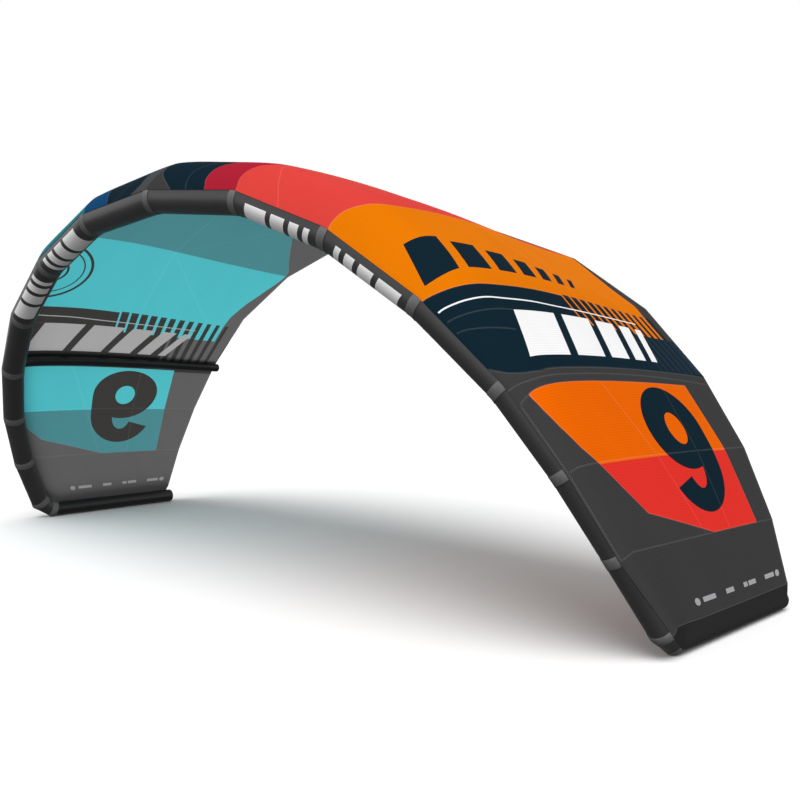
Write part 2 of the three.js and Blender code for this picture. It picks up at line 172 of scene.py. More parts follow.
def ease(s, length, h0, m0, h1, m1):
    a = 2 * s**3 - 3 * s**2 + 1
    b = s**3 - 2 * s**2 + s
    c = s**3 - s**2
    return a * h0 + b * length * m0 + (1 - a) * h1 + c * length * m1


def cloth_radius(k):
    return radii[k] + CLOTH_ROOM + CLOTH_HALF


def rib_height(k, s):
    """Rib k, back and up from the tube's centre: s is 0 at the tube, 1 at the crown, 2 at the tail."""
    joint = JOINTS[k]
    leave = radians(joint["wrap"])
    start = np.array([-cos(leave), sin(leave)]) * cloth_radius(k)
    top = joint["crown_at"] * chord_lengths[k]
    if s <= 1:
        length = top - start[0]
        rise = ease(s, length, start[1], 1 / tan(leave), joint["crown"], 0)
        return np.array([start[0] + s * length, rise])
    length = chord_lengths[k] - top
    rise = ease(s - 1, length, joint["crown"], 0, 0, joint["tail_slope"])
    return np.array([top + (s - 1) * length, rise])


def rib_place(k, place):
    return centres[k] + chords[k] * place[0] + outs[k] * place[1] * stretches[k]


def rib_point(k, s):
    """A point of rib k, moved near the tube so that it starts on the mitred ring."""
    here, start = rib_height(k, s), rib_height(k, 0)
    swing = ring_point(k, JOINTS[k]["wrap"], cloth_radius(k)) - rib_place(k, start)
    left = max(1 - (here[0] - start[0]) / (BLEND_SHARE * chord_lengths[k]), 0)
    return rib_place(k, here) + swing * left**2


# The cloth by span, 0 in the middle to 7 at the last rib, and chord, 0 at the seam to 1 at the tail

WRAP_SAMPLES = 10
RISE_SAMPLES = 32
TAIL_SAMPLES = 80
EVEN_SAMPLES = 260
ROUND_PASSES = 50
ROUND_START = 60.0


def rounded(curve, free):
    """Eases the bends of a rib by averages of neighbours, none where free is 0."""
    for _ in range(ROUND_PASSES):
        middles = mix(curve[:-2], curve[2:], 0.5)
        curve[1:-1] += (middles - curve[1:-1]) * free[1:-1, None] / 2
    return curve


def path_lengths(points):
    steps = np.linalg.norm(np.diff(points, axis=0), axis=1)
    return np.concatenate([[0], np.cumsum(steps)])


def along_path(points, shares):
    """Points at shares of a path's length."""
    lengths = path_lengths(points)
    return np.stack([np.interp(shares * lengths[-1], lengths, points[:, i]) for i in range(3)], axis=-1)


def rib_curve(k):
    """Rib k as even points, and the shares of its length where it leaves the tube and is highest."""
    angles = np.linspace(SEAM_ANGLES[k], JOINTS[k]["wrap"], WRAP_SAMPLES)
    wrapped = [ring_point(k, a, cloth_radius(k)) for a in angles]
    rising = [rib_point(k, s) for s in np.linspace(0, 1, RISE_SAMPLES)[1:]]
    falling = [rib_point(k, s) for s in np.linspace(1, 2, TAIL_SAMPLES)[1:]]
    points = np.array(wrapped + rising + falling)
    lengths = path_lengths(points)
    leaves, crests = lengths[WRAP_SAMPLES - 1], lengths[WRAP_SAMPLES + RISE_SAMPLES - 2]
    shares = np.linspace(0, 1, EVEN_SAMPLES)
    free = np.clip((shares * lengths[-1] - leaves) / ROUND_START, 0, 1)
    return rounded(along_path(points, shares), free), leaves / lengths[-1], crests / lengths[-1]


rib_curves = [rib_curve(k) for k in range(LAST + 1)]
TIP_CHORD = rib_curves[LAST][1]


def on_rib(k, chord):
    if k < 0:
        return on_rib(-k, chord) * (-1, 1, 1)
    return along_path(rib_curves[k][0], chord)


def bend(k, chord):
    """How far the panels on the two sides of a rib turn from each other."""
    if k == LAST:
        return np.zeros(np.shape(chord) + (3,))
    return on_rib(k + 1, chord) - 2 * on_rib(k, chord) + on_rib(k - 1, chord)


def smooth_step(x):
    x = np.clip(x, 0, 1)
    return x * x * (3 - 2 * x)


ROUNDNESS = 0.6
ROUND_HALF = 0.25
ROUND_MEAN = ROUND_HALF**2 / 10
ROUND_FROM = 0.03
ROUND_RISE = 0.1
ROUND_FALL = 0.3


def roundness(chord):
    """How far the air rounds the cloth off between its straight edges at the tube and the tail."""
    return ROUNDNESS * smooth_step((chord - ROUND_FROM) / ROUND_RISE) * smooth_step((1 - chord) / ROUND_FALL)


def clear_of_tube(points, k):
    """Moves points of panel k that would lie inside the tube out to the cloth round it."""
    way = centres[k + 1] - centres[k]
    shares = np.clip((points - centres[k]) @ way / way.dot(way), 0, 1)[:, None]
    arms = points - centres[k] - way * shares
    away = np.linalg.norm(arms, axis=1)[:, None]
    least = mix(cloth_radius(k), cloth_radius(k + 1), shares)
    return points + arms * np.maximum(least / away - 1, 0)


def wing_points(span, chord):
    """Points of the cloth for arrays of span and chord."""
    size = np.abs(span)
    panel = np.minimum(size.astype(int), LAST - 1)
    points = np.zeros(size.shape + (3,))
    for k in range(LAST):
        here = panel == k
        share, back = (size[here] - k)[:, None], chord[here]
        inner, outer = bend(k, back), bend(k + 1, back)
        near_inner, near_outer = np.maximum(ROUND_HALF - share, 0), np.maximum(share + ROUND_HALF - 1, 0)
        fillets = (inner * near_inner**2 + outer * near_outer**2) / (4 * ROUND_HALF)
        swell = fillets - mix(inner, outer, share) * ROUND_MEAN
        found = mix(on_rib(k, back), on_rib(k + 1, back), share) + swell * roundness(back)[:, None]
        points[here] = clear_of_tube(found, k)
    points[..., 0] *= np.where(span < 0, -1, 1)
    return points


def tip_tube_point(back, angle, room):
    columns = np.array(TIP_RINGS, float).T
    out, radius, bottom = [np.interp(back, columns[0], columns[i]) for i in (1, 2, 3)]
    centre = np.array([out, back, bottom + radius * TIP_FLAT])
    _, ahead, aside = axes[ELBOW]
    return centre + (ahead * cos(radians(angle)) + aside * sin(radians(angle))) * (radius + room)


TIP_FLAT_SHARE = 1 / 3
ELBOW_SHARE = 0.14


def tip_cloth_point(row, column):
    """The last panel: row 0 at the joint to 1 at the tail, column 0 at the rib to 1 at the seam."""
    turned = max(column - TIP_FLAT_SHARE, 0) / (1 - TIP_FLAT_SHARE)
    joint_angle = mix(JOINTS[LAST]["wrap"], SEAM_ANGLES[LAST], max(column, TIP_FLAT_SHARE))
    tube_angle = mix(TIP_WRAP, TIP_SEAM, turned)
    room = CLOTH_ROOM + CLOTH_HALF
    if row == 0:
        return ring_point(LAST, mix(JOINTS[LAST]["wrap"], SEAM_ANGLES[LAST], column), cloth_radius(LAST))
    if row <= ELBOW_SHARE:
        share = row / ELBOW_SHARE
        above = ring_point(LAST, joint_angle, cloth_radius(LAST))
        below = ring_point(ELBOW, mix(joint_angle, tube_angle, share), ELBOW_RADIUS + room)
        on_tube = mix(above, below, share)
    else:
        back = mix(ELBOW_PLACE[1], TIP_CLOTH_END, (row - ELBOW_SHARE) / (1 - ELBOW_SHARE))
        on_tube = tip_tube_point(back, tube_angle, room)
    rib = on_rib(LAST, mix(TIP_CHORD, 1, row))
    return mix(rib, on_tube, min(column / TIP_FLAT_SHARE, 1))


def place(points):
    """From kite millimetres to the frame's metres."""
    return (np.asarray(points) + LEADING_EDGE) * MM


# Materials

def linear(color):
    channels = [c / 255 / 12.92 if c <= 10 else ((c / 255 + 0.055) / 1.055) ** 2.4 for c in color]
    return (*channels, 1.0)


def tinted(color, factor, lift=0.0):
    return (*[min(c * factor + lift, 1) for c in color[:3]], 1.0)


class Nodes:
    """Builds the node tree of a material or of the world in short calls."""

    def __init__(self, data):
        self.data = data
        self.data.use_nodes = True
        self.tree = self.data.node_tree

    def feed(self, node, inputs):
        for key, value in inputs.items():
            if isinstance(value, (int, float, tuple)):
                node.inputs[key].default_value = value
            else:
                self.tree.links.new(value, node.inputs[key])

    def node(self, kind, inputs, **settings):
        node = self.tree.nodes.new(f"ShaderNode{kind}")
        for key, value in settings.items():
            setattr(node, key, value)
        self.feed(node, inputs)
        return node

    def math(self, operation, *values):
        return self.node("Math", dict(enumerate(values)), operation=operation).outputs[0]

    def mix(self, factor, a, b):
        return self.node("Mix", {0: factor, 6: a, 7: b}, data_type="RGBA").outputs[2]

    def dyed(self, color, mottle, spread, *layers):
        """Mottled cloth under layers: each has a mask, how strongly it shows, and how it is tinted."""
        base = linear(color)
        cloth = self.mix(mottle, tinted(base, 1 - spread), tinted(base, 1 + spread))
        for mask, share, *tint in layers:
            cloth = self.mix(self.math("MULTIPLY", mask, share), cloth, tinted(base, *tint))
        return cloth

    def uv(self, name):
        where = self.node("UVMap", {}, uv_map=name).outputs[0]
        return where, *self.node("SeparateXYZ", {0: where}).outputs[:2]

    def noise(self, vector, scale, stretch=(1.0, 1.0, 1.0), detail=2.0):
        mapping = self.node("Mapping", {"Vector": vector, "Scale": stretch})
        inputs = {"Vector": mapping.outputs[0], "Scale": scale, "Detail": detail}
        return self.node("TexNoise", inputs).outputs["Fac"]

    def faded(self, away, width):
        """1 where the distance is 0, and 0 from half the width away."""
        away = self.math("DIVIDE", away, width / 2)
        return self.math("SUBTRACT", 1.0, self.math("MINIMUM", away, 1.0))

    def lines(self, value, period, width):
        """1 on lines that repeat every period, with soft sides, and 0 between them."""
        return self.faded(self.math("PINGPONG", value, period / 2), width)

    def near(self, value, middle, width):
        """1 where the value is at the middle, and 0 from half the width away."""
        return self.faded(self.math("ABSOLUTE", self.math("SUBTRACT", value, middle)), width)

    def finish(self, color, height, roughness, specular, strength, distance):
        bump = self.node("Bump", {"Height": height, "Strength": strength, "Distance": distance})
        inputs = {"Base Color": color, "Roughness": roughness, "Specular IOR Level": specular}
        self.feed(self.tree.nodes["Principled BSDF"], {**inputs, "Normal": bump.outputs[0]})
        return self.data


# Sizes of the weave and of the sewing in metres, but of the zigzag in shares of half the sewn band
RIB_SPACING = 0.010
THREAD_SPACING = 0.020
THREAD_THICKNESS = 0.004
STITCH_LENGTH = 0.009
STITCH_SHARE = 0.8
ZIGZAG_REACH = 0.5
ZIGZAG_WIDTH = 0.5
ZIGZAG_LIFT = 0.10
TUBE_WEAVE = 0.004
TAPE_RIB = 0.004
TAPE_PICK = 0.003
STITCH_ROW = 0.0155
STITCH_ROW_WIDTH = 0.0025
# Where the painted shade line near the tape's outer edge lies, and how wide it is
EDGE_SHADE = 0.0195
EDGE_SHADE_WIDTH = 0.006


def canopy_material(name, color, ribbing):
    """Coated ripstop cloth: thicker threads along the chord, finer ones across, and zigzag seams."""
    nodes = Nodes(bpy.data.materials.new(name))
    metres, across, along = nodes.uv("metres")
    _, from_seam, along_seam = nodes.uv("seam")
    ribs = nodes.lines(across, RIB_SPACING, RIB_SPACING)
    threads = nodes.lines(along, THREAD_SPACING, THREAD_THICKNESS)
    fold = nodes.near(from_seam, 0.0, 2.0)
    zigzag = nodes.math("PINGPONG", along_seam, STITCH_LENGTH / 2)
    zigzag = nodes.math("MULTIPLY_ADD", zigzag, 4 * ZIGZAG_REACH / STITCH_LENGTH, -ZIGZAG_REACH)
    stitches = nodes.near(nodes.math("SUBTRACT", from_seam, zigzag), 0.0, ZIGZAG_WIDTH)
    mottle = nodes.noise(metres, scale=2.5, stretch=(1.0, 3.0, 1.0), detail=3.0)
    cloth = nodes.dyed(color, mottle, 0.05, (ribs, ribbing, 0.7), (threads, 0.1, 1.2, 0.01),
                       (fold, 0.12, 1.2, 0.01), (stitches, 0.75, 1.0, ZIGZAG_LIFT))
    height = nodes.math("MULTIPLY_ADD", ribs, -0.08, nodes.math("MULTIPLY", fold, 0.3))
    height = nodes.math("ADD", height, nodes.math("MULTIPLY", stitches, 0.3))
    return nodes.finish(cloth, height, roughness=0.75, specular=0.01, strength=0.3, distance=0.002)


def tube_material(name, color):
    """Woven polyester pulled tight by the air inside, puckered a little beside each bend."""
    nodes = Nodes(bpy.data.materials.new(name))
    metres, along, around = nodes.uv("metres")
    _, share, _ = nodes.uv("share")
    threads = [nodes.lines(way, TUBE_WEAVE, TUBE_WEAVE) for way in (along, around)]
    threads = nodes.math("MULTIPLY", *threads)
    cloudy = nodes.noise(metres, scale=9.0, stretch=(1.0, 2.0, 1.0), detail=3.0)
    away = nodes.math("ABSOLUTE", nodes.math("SUBTRACT", share, 0.5))
    near_bend = nodes.math("POWER", nodes.math("MULTIPLY", away, 2.0), 10.0)
    pucker = nodes.math("MULTIPLY", nodes.noise(metres, scale=2.4, stretch=(3.0, 24.0, 1.0)), near_bend)
    cloth = nodes.dyed(color, cloudy, 0.12, (threads, 0.5, 1.35, 0.004))
    height = nodes.math("ADD", nodes.math("MULTIPLY", threads, 0.12), nodes.math("MULTIPLY", pucker, 0.8))
    return nodes.finish(cloth, height, roughness=0.4, specular=0.45, strength=0.4, distance=0.003)


def tape_material(name, color):
    """Webbing with ribs along its length, sewn down near both edges, with a painted shade line along its
    outer side.
    """
    nodes = Nodes(bpy.data.materials.new(name))
    metres, across, around = nodes.uv("metres")
    ribs = nodes.lines(across, TAPE_RIB, TAPE_RIB)
    picks = nodes.lines(around, TAPE_PICK, TAPE_PICK)
    weave = nodes.math("MULTIPLY", ribs, picks)
    rows = nodes.near(nodes.math("ABSOLUTE", across), STITCH_ROW, STITCH_ROW_WIDTH)
    stitches = nodes.math("MULTIPLY", rows, nodes.lines(around, STITCH_LENGTH, STITCH_LENGTH * STITCH_SHARE))
    # Painted shade: a dark line near the outer edge, where the tape's thickness would shade it
    edge_shade = nodes.near(across, EDGE_SHADE, EDGE_SHADE_WIDTH)
    mottle = nodes.noise(metres, scale=60.0, detail=3.0)
    cloth = nodes.dyed(color, mottle, 0.25, (weave, 0.5, 1.5), (stitches, 0.5, 1.6, 0.02),
                       (edge_shade, 1.0, 0.2))
    height = nodes.math("ADD", nodes.math("MULTIPLY", weave, 0.4), nodes.math("MULTIPLY", stitches, 0.5))
    return nodes.finish(cloth, height, roughness=0.7, specular=0.15, strength=0.4, distance=0.0015)


# Meshes

SHARP_EDGE = radians(50)
CUT_CLOSE = 1e-5
WELD = 1e-6


def put_in_scene(name, data):
    thing = bpy.data.objects.new(name, data)
    bpy.context.scene.collection.objects.link(thing)
    return thing


def add_object(name, points, faces, materials, uvs, face_materials=None):
    mesh = bpy.data.meshes.new(name)
    mesh.from_pydata([tuple(p) for p in points], [], [tuple(int(i) for i in f) for f in faces])
    for material in materials:
        mesh.materials.append(material)
    if face_materials is not None:
        mesh.polygons.foreach_set("material_index", np.asarray(face_materials, dtype=np.int32))
    corners = np.zeros(len(mesh.loops), dtype=np.int32)
    mesh.loops.foreach_get("vertex_index", corners)
    for layer_name, values in uvs.items():
        layer = mesh.uv_layers.new(name=layer_name)
        values = np.asarray(values, dtype=np.float32)
        values = values if len(values) == len(corners) else values[corners]
        layer.data.foreach_set("uv", values.ravel())
    thing = put_in_scene(name, mesh)
    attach(thing, "root")
    return thing


def smooth(thing):
    """Smooths all but the sharp edges."""
    thing.data.polygons.foreach_set("use_smooth", [True] * len(thing.data.polygons))
    thing.data.set_sharp_from_angle(angle=SHARP_EDGE)
    return thing


def tidy_mesh(thing, close=False):
    """Welds and closes a piece if asked, turns its faces out, and smooths all but its sharp edges."""
    mesh = bmesh.new()
    mesh.from_mesh(thing.data)
    if close:
        bmesh.ops.remove_doubles(mesh, verts=mesh.verts, dist=WELD)
        bmesh.ops.holes_fill(mesh, edges=mesh.edges)
    bmesh.ops.recalc_face_normals(mesh, faces=mesh.faces)
    mesh.to_mesh(thing.data)
    mesh.free()
    return smooth(thing)


def inside_outline(points, outline):
    """Which of the points lie inside a closed outline."""
    x, y = points[:, 0], points[:, 1]
    found = np.zeros(len(points), bool)
    corners = np.asarray(outline, float)
    for (x1, y1), (x2, y2) in zip(corners, np.roll(corners, -1, axis=0)):
        crosses = (y1 > y) != (y2 > y)
        if y1 != y2:
            found ^= crosses & (x < (x2 - x1) * (y - y1) / (y2 - y1) + x1)
    return found


def refined(line, step, closed=False):
    """The line with points added so that no piece is longer than the step, which is a pair."""
    points = np.array([*line, line[0]] if closed else line, float)
    found = []
    for a, b in zip(points, points[1:]):
        pieces = max(int(np.ceil((np.abs(b - a) / step).max())), 1)
        found += [mix(a, b, i / pieces) for i in range(pieces)]
    return np.array(found if closed else found + [points[-1]])


def cut_flat(across, along, outlines, lines, step):
    """Triangles over a rectangle, cut along outlines and lines, and the last outline round each, from 1."""
    rows, columns = len(across), len(along)
    scales = list(enumerate((across, along)))

    def to_grid(path, closed):
        path = refined(path, step, closed)
        path = [np.interp(path[:, i], values, range(len(values))) for i, values in scales]
        return refined(np.stack(path, axis=1), (1, 1), closed)

    points = [(a, b) for a in range(rows) for b in range(columns)]
    edges = []
    rings = [to_grid(outline, True) for outline in outlines]
    for path, closed in [(ring, True) for ring in rings] + [(to_grid(line, False), False) for line in lines]:
        first, count = len(points), len(path)
        points += [tuple(p) for p in path]
        edges += [(first + i, first + (i + 1) % count) for i in range(count if closed else count - 1)]
    border = grid_border(rows, columns)
    border = border[:1] + border[:0:-1]
    edges += list(zip(border, border[1:] + border[:1]))
    result = delaunay_2d_cdt([Vector(p) for p in points], edges, [], 0, CUT_CLOSE)
    grid = np.array([(p.x, p.y) for p in result[0]])
    triangles = np.array([f for f in result[2] if len(f) == 3])
    middles = grid[triangles].mean(axis=1)
    owner = np.zeros(len(triangles), int)
    for index, ring in enumerate(rings):
        owner[inside_outline(middles, ring)] = index + 1
    flat = [np.interp(grid[:, i], range(len(values)), values) for i, values in scales]
    return np.stack(flat, axis=1), triangles, owner


def grid_quads(rows, columns):
    """The faces of a grid of points that are listed row by row."""
    corners = [r * columns + c for r in range(rows - 1) for c in range(columns - 1)]
    return [(a, a + 1, a + columns + 1, a + columns) for a in corners]


def grid_border(rows, columns):
    """The points round the edge of such a grid, along its first row first."""
    border = list(range(columns)) + [r * columns + columns - 1 for r in range(1, rows)]
    border += [(rows - 1) * columns + c for c in range(columns - 2, -1, -1)]
    return border + [r * columns for r in range(rows - 2, 0, -1)]


def triangle_normals(points, triangles):
    """A normal of each triangle, twice as long as its area."""
    first, second, third = points[triangles].transpose(1, 0, 2)
    return np.cross(second - first, third - first)


def boundary_edges(triangles):
    seen = {}
    for a, b, c in triangles:
        for edge in ((a, b), (b, c), (c, a)):
            key = (min(edge), max(edge))
            seen[key] = None if key in seen else edge
    return [edge for edge in seen.values() if edge]


# Artwork: shapes in span and chord on one wing

CURVE_STEPS = 6
ELLIPSE_POINTS = 48


def smooth_line(points):
    """A curve through the points."""
    knots = np.array([points[0], *points, points[-1]], float)
    curve = []
    for a, b, c, d in zip(knots, knots[1:], knots[2:], knots[3:]):
        for t in np.arange(CURVE_STEPS) / CURVE_STEPS:
            curve.append(tuple(0.5 * (2 * b + (c - a) * t + (2 * a - 5 * b + 4 * c - d) * t**2
                                      + (3 * b - a - 3 * c + d) * t**3)))
    return curve + [tuple(points[-1])]


def ellipse(centre, half_span, half_chord, steps=ELLIPSE_POINTS):
    turns = np.linspace(0, 2 * pi, steps, endpoint=False)
    return [(centre[0] + half_span * cos(t), centre[1] + half_chord * sin(t)) for t in turns]


def block(top, bottom, start, end, lean=0):
    """Four corners, whose top may be moved along the chord."""
    return [(top, start + lean), (top, end + lean), (bottom, end), (bottom, start)]


# Where one coloured panel ends and the next begins, from the middle outwards, right wing and left wing
PANEL_EDGES = {
    1: [
        [(0.3, 0.0), (0.2, 0.021), (0.12, 0.039), (0.06, 0.055), (0.025, 0.072), (0.01, 0.09), (0.01, 0.11),
         (0.04, 0.14), (0.06, 0.3), (0.05, 0.585)],
        [(0.69, 0.0), (0.66, 0.015), (0.62, 0.033), (0.6, 0.055), (0.6, 0.075), (0.63, 0.096), (0.69, 0.12),
         (0.72, 0.18), (0.66, 0.35), (0.6, 0.5), (0.58, 0.7)],
        [(1.03, 0.0), (1.01, 0.015), (0.98, 0.033), (0.97, 0.055), (0.98, 0.075), (1.01, 0.1), (1.05, 0.122),
         (1.07, 0.18), (1.02, 0.35), (0.99, 0.5), (1.0, 0.79)],
        [(2.04, 0.0), (2.02, 0.02), (2.02, 0.045), (2.04, 0.07), (2.1, 0.112), (2.15, 0.15), (2.16, 0.2),
         (2.14, 0.3), (2.09, 0.42), (2.02, 0.55), (1.975, 0.7), (1.97, 0.985)],
    ],
    -1: [
        [(0.22, 0.0), (0.19, 0.013), (0.17, 0.03), (0.18, 0.055), (0.2, 0.085), (0.18, 0.13), (0.06, 0.3),
         (0.05, 0.585)],
        [(0.58, 0.0), (0.63, 0.022), (0.69, 0.048), (0.74, 0.075), (0.75, 0.12), (0.72, 0.2), (0.66, 0.35),
         (0.6, 0.5), (0.58, 0.7)],
        [(0.95, 0.0), (0.99, 0.02), (1.03, 0.05), (1.05, 0.1), (1.06, 0.18), (1.0, 0.35), (0.93, 0.5),
         (0.9, 0.79)],
        [(2.04, 0.0), (2.01, 0.04), (1.98, 0.12), (1.96, 0.25), (1.95, 0.43), (1.95, 0.65), (1.95, 0.83),
         (1.97, 0.985)],
    ],
}
BAND_EDGE = [(3.06, 0.0), (3.07, 0.025), (3.095, 0.065), (3.125, 0.105), (3.145, 0.14), (3.155, 0.2),
             (3.155, 0.35), (3.165, 0.5), (3.19, 0.73), (3.22, 0.93)]
STRUT_EDGE = [(3.83, 0.0), (3.88, 0.011), (3.94, 0.028), (3.99, 0.06), (4.01, 0.09), (4.025, 0.125),
              (4.01, 0.2), (4.01, 0.85), (4.03, 1.0)]
STRUT_MIDDLE = [(4.08, 0.002), (4.075, 0.045), (4.08, 0.1), (4.08, 0.5), (4.1, 0.8), (4.13, 0.99)]
LOWER_TOP = [(4.2, 0.04), (4.185, 0.052), (4.17, 0.075), (4.165, 0.12), (4.16, 0.25), (4.165, 0.5)]

# The front edge, the foot and the rear edge of the lower panel, right wing and left wing
LOWER_PANEL = {
    1: ([(4.2, 0.04), (4.38, 0.05), (4.58, 0.065), (4.82, 0.09), (5.02, 0.127), (5.33, 0.181),
         (5.63, 0.237)], [(6.0, 0.556), (6.0, 0.872)], [(4.17, 0.818), (5.02, 0.848)]),
    -1: ([(4.2, 0.04), (4.38, 0.05), (4.58, 0.06), (4.82, 0.073), (5.02, 0.088), (5.33, 0.107),
          (5.62, 0.181)], [(6.0, 0.511), (6.0, 0.849)], [(4.17, 0.812), (5.02, 0.833)]),
}
REAR_EDGE = [(0.05, 0.585), (1.1, 0.81), (1.36, 0.863), (1.63, 0.919), (1.97, 0.985), (2.4, 0.965),
             (2.7, 0.945), (3.22, 0.93)]
WHITE_LINE = [(3.22, 0.008), (3.22, 0.03), (3.24, 0.07), (3.27, 0.115), (3.3, 0.18), (3.31, 0.3),
              (3.33, 0.45), (3.33, 0.82)]
WHITE_WIDTH = 0.015
STITCH_LINES = [
    [(3.33, 0.008), (3.335, 0.03), (3.36, 0.07), (3.39, 0.11), (3.41, 0.15), (3.42, 0.19)],
    [(3.45, 0.006), (3.47, 0.03), (3.52, 0.066), (3.57, 0.1), (3.62, 0.14)],
    [(4.26, 0.004), (4.24, 0.011), (4.22, 0.025), (4.21, 0.036)],
    [(0.48, 0.0), (0.43, 0.022), (0.4, 0.045), (0.4, 0.07), (0.43, 0.09), (0.5, 0.115), (0.55, 0.2)],
    [(1.51, 0.0), (1.42, 0.031), (1.32, 0.064), (1.25, 0.09), (1.16, 0.125), (1.12, 0.2)],
]
STAR_LINES = [
    [(1.98, 0.532), (1.12, 0.508)], [(1.98, 0.532), (1.12, 0.73)], [(1.98, 0.532), (3.13, 0.567)],
    [(1.98, 0.532), (3.13, 0.845)], [(4.17, 0.335), (5.02, 0.42), (6.0, 0.5)], [(4.17, 0.655), (6.0, 0.667)],
]
SEAM_RIBS = (5, 6, 7)
INNER_SEAM = [(4.25, 0.006), (6.0, 0.006)]
HEM = [(0.0, 0.992), (7.0, 0.992)]

# The comb of bars, from BAR_START along the chord, and the band that it grows out of
BAR_COUNT = 12
BAR_START = 0.5
BAR_PITCH = 0.0405
BAR_HALVES = (0.0158, 0.008)
BAR_TOPS = (3.145, 3.215)
BAR_SPLIT = 3.5
BAR_FOOT = 3.99
BAR_END = 0.995
BAR_MARGIN = 0.008
COMB_TOP = 3.15
GAP_START = 0.72
FAR_FRONT = (3.3, 0.0)
STRUT_REACH = 4.2

# Rows of slanted blocks: where they start, and their sizes in span and chord
WHITE_BLOCKS = {"start": 0.115, "widths": (0.165, 0.13, 0.095, 0.06, 0.035), "gap": 0.035,
                "top": 3.42, "slope": 0.0, "bottom": 3.88, "lean": 0.075}
DARK_BLOCKS = {"start": 0.03, "widths": (0.1, 0.085, 0.07, 0.055, 0.042, 0.032, 0.024), "gap": 0.03,
               "top": 2.56, "slope": 0.4, "bottom": 2.97, "lean": 0.05}

NUMERAL_MIDDLE = 0.605
NUMERAL_HALF = 0.16
NUMERAL_THICK = 0.112
BOWL_SPAN = 4.72
BOWL_HALF = 0.5
HOLE_HALF = 0.19
HOOK_SPAN = 5.2
HOOK_REACHES = (0.56, 0.26)
HOOK_TURNS = np.linspace(0, 2.75, 20)

MARK_MIDDLE = 6.79
MARK_SIDES = (6.755, 6.82)
MARK_BARS = ((0.33, 0.42), (0.5, 0.56), (0.64, 0.67), (0.68, 0.74), (0.82, 0.9))
DISC_CHORDS = (0.29, 0.93)
DISC_HALVES = (0.05, 0.017)
DISC_POINTS = 20
RINGS_MIDDLE = (2.56, 0.155)
RINGS_HALVES = (0.46, 0.145)
RING_SIZES = ((1.0, 0.93), (0.8, 0.765), (0.42, 0.36))


def bars():
    """Where each bar of the comb starts and ends along the chord: they grow thinner towards the tail."""
    found = []
    for i in range(BAR_COUNT):
        middle, half = BAR_START + BAR_PITCH * i, mix(*BAR_HALVES, i / (BAR_COUNT - 1))
        found.append((middle - half, min(middle + half, BAR_END)))
    return found


def fading(start, widths, gap):
    """Starts and ends of blocks in a row."""
    found = []
    for width in widths:
        found.append((start, start + width))
        start += width + gap
    return found


def slanted(start, widths, gap, top, slope, bottom, lean):
    """A row of slanted blocks along the chord, whose tops follow a slope."""
    return [block(top + slope * a, bottom, a, b, lean) for a, b in fading(start, widths, gap)]


def numeral(flip):
    """A plain size numeral: a round bowl above an open hook. flip turns it to read from outside."""
    halves = NUMERAL_HALF, NUMERAL_HALF - NUMERAL_THICK
    bowl, hole = [ellipse((BOWL_SPAN, NUMERAL_MIDDLE), size, half) for size, half in
                  zip((BOWL_HALF, HOLE_HALF), halves)]
    outer, inner = [[(HOOK_SPAN + reach * sin(t), NUMERAL_MIDDLE + flip * half * cos(t)) for t in HOOK_TURNS]
                    for reach, half in zip(HOOK_REACHES, halves)]
    start, end = [(BOWL_SPAN, NUMERAL_MIDDLE + flip * half) for half in halves]
    return bowl, hole, [start] + outer + inner[::-1] + [end]


def marks():
    """A row of small plain marks near the tip: bars between two discs."""
    first, last = [ellipse((MARK_MIDDLE, chord), *DISC_HALVES, DISC_POINTS) for chord in DISC_CHORDS]
    return [first] + [block(*MARK_SIDES, *bar) for bar in MARK_BARS] + [last]


def rings():
    """Plain rings on the main colour."""
    found = []
    for sizes in RING_SIZES:
        for scale, color in zip(sizes, ("ink", "main")):
            found.append((color, ellipse(RINGS_MIDDLE, *[half * scale for half in RINGS_HALVES])))
    return found


WINGS = {
    1: {"base": "charcoal", "first": "navy", "second": "crimson", "third": "coral", "main": "orange",
        "band": "navy", "gap": "steel", "lower": "deep_orange", "foot": "deep_coral", "ink": "navy",
        "strut": "charcoal"},
    -1: {"base": "grey", "first": "navy", "second": "blue", "third": "dark_teal", "main": "teal",
         "band": "black", "gap": "charcoal", "lower": "teal", "foot": "dark_teal", "ink": "black",
         "strut": "black"},
}


